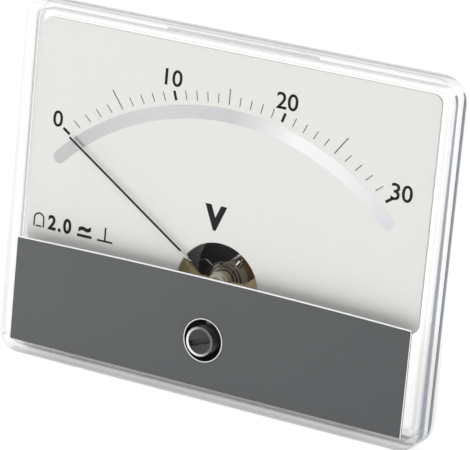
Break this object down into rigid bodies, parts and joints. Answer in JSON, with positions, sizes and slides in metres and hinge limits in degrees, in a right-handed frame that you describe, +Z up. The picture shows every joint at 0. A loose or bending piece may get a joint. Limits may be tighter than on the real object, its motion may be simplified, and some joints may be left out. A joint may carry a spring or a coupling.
{
  "type": "analog panel meter",
  "caption": "Moving-coil panel voltmeter: clear rectangular case over a round rear barrel, white dial with needle, zero adjuster, threaded studs and rear terminals.",
  "frame": {"origin": "centre of the round barrel, on the rear face of the flange that lies on the panel", "axes": "+Y into the panel along the barrel's axis, +Z up the dial, +X right as seen from the front"},
  "size_m": [0.086, 0.0466, 0.065],
  "materials": {
    "clear_case": "polished clear acrylic",
    "clear_base": "clear moulded polystyrene",
    "grey_band": "matt dark grey",
    "dial_white": "matt off-white enamel",
    "black_plastic": "moulded",
    "brass": "stamped",
    "steel": "zinc plated",
    "soft_iron": "machined",
    "magnet": "dark lacquer",
    "aluminium": "drawn",
    "copper": "enamelled copper wire",
    "beige_plastic": "moulded",
    "white_plastic": "moulded",
    "needle_black": "matt lacquer",
    "nickel": "plated",
    "bronze": "rolled strip",
    "ruby": "polished",
    "board": "phenolic board",
    "diode_black": "moulded",
    "resistor_blue": "lacquered",
    "lead_insulation": "soft insulation"
  },
  "bodies": {
    "housing": {"front_cover": "clear_case", "cover_band": "grey_band", "rear_base": "clear_base", "dial_plate": "dial_white", "dial_screws": "steel", "cover_screws": "steel", "yoke_ring": "soft_iron", "core_magnet": "magnet", "core_holders": "aluminium", "front_bridge": "brass", "rear_bridge": "brass", "bridge_pillars": "brass", "bridge_screws": "steel", "front_jewel_screw": "brass", "front_jewel": "ruby", "front_lock_nut": "white_plastic", "rear_jewel_screw": "brass", "rear_jewel": "ruby", "rear_lock_nut": "brass", "movement_frame": "black_plastic", "frame_screws": "steel", "rectifier_board": "board", "board_screws": "steel", "rectifier_diodes": "diode_black", "series_resistor": "resistor_blue", "mounting_studs": "steel", "terminal_studs": "brass", "terminal_inner_washers": "steel", "terminal_lock_nuts": "nickel", "solder_lugs": "nickel", "terminal_washers": "nickel", "terminal_nuts": "nickel", "lead_wires": "lead_insulation"},
    "moving_coil": {"coil_former": "aluminium", "coil_winding": "copper", "pivot_seats": "beige_plastic", "front_pivot": "steel", "rear_pivot": "steel", "pointer_hub": "white_plastic", "pointer_arm": "aluminium", "pointer_needle": "needle_black", "balance_arms": "aluminium", "balance_weights": "nickel", "front_hairspring": "bronze", "rear_hairspring": "bronze"},
    "zero_screw": {"zero_screw": "black_plastic"},
    "zero_lever": {"zero_lever": "beige_plastic"}
  },
  "joints": [
    {"name": "pointer_swing", "type": "hinge", "parent": "housing", "child": "moving_coil", "pos_m": [0, 0, -0.0076], "axis": [0, 1, 0], "range_deg": [-2, 117], "stiffness_Nm_per_rad": 0.00002, "deforming": ["front_hairspring", "rear_hairspring"]},
    {"name": "zero_adjust", "type": "hinge", "parent": "housing", "child": "zero_screw", "pos_m": [0, 0, -0.01735], "axis": [0, 1, 0], "range_deg": [-45, 45]},
    {"name": "zero_lever_swing", "type": "hinge", "parent": "housing", "child": "zero_lever", "pos_m": [0, 0, -0.0076], "axis": [0, 1, 0], "range_deg": [-6, 6]}
  ],
  "couplings": [
    {"joint": "zero_lever_swing", "follows": "zero_adjust", "ratio": -0.121}
  ]
}
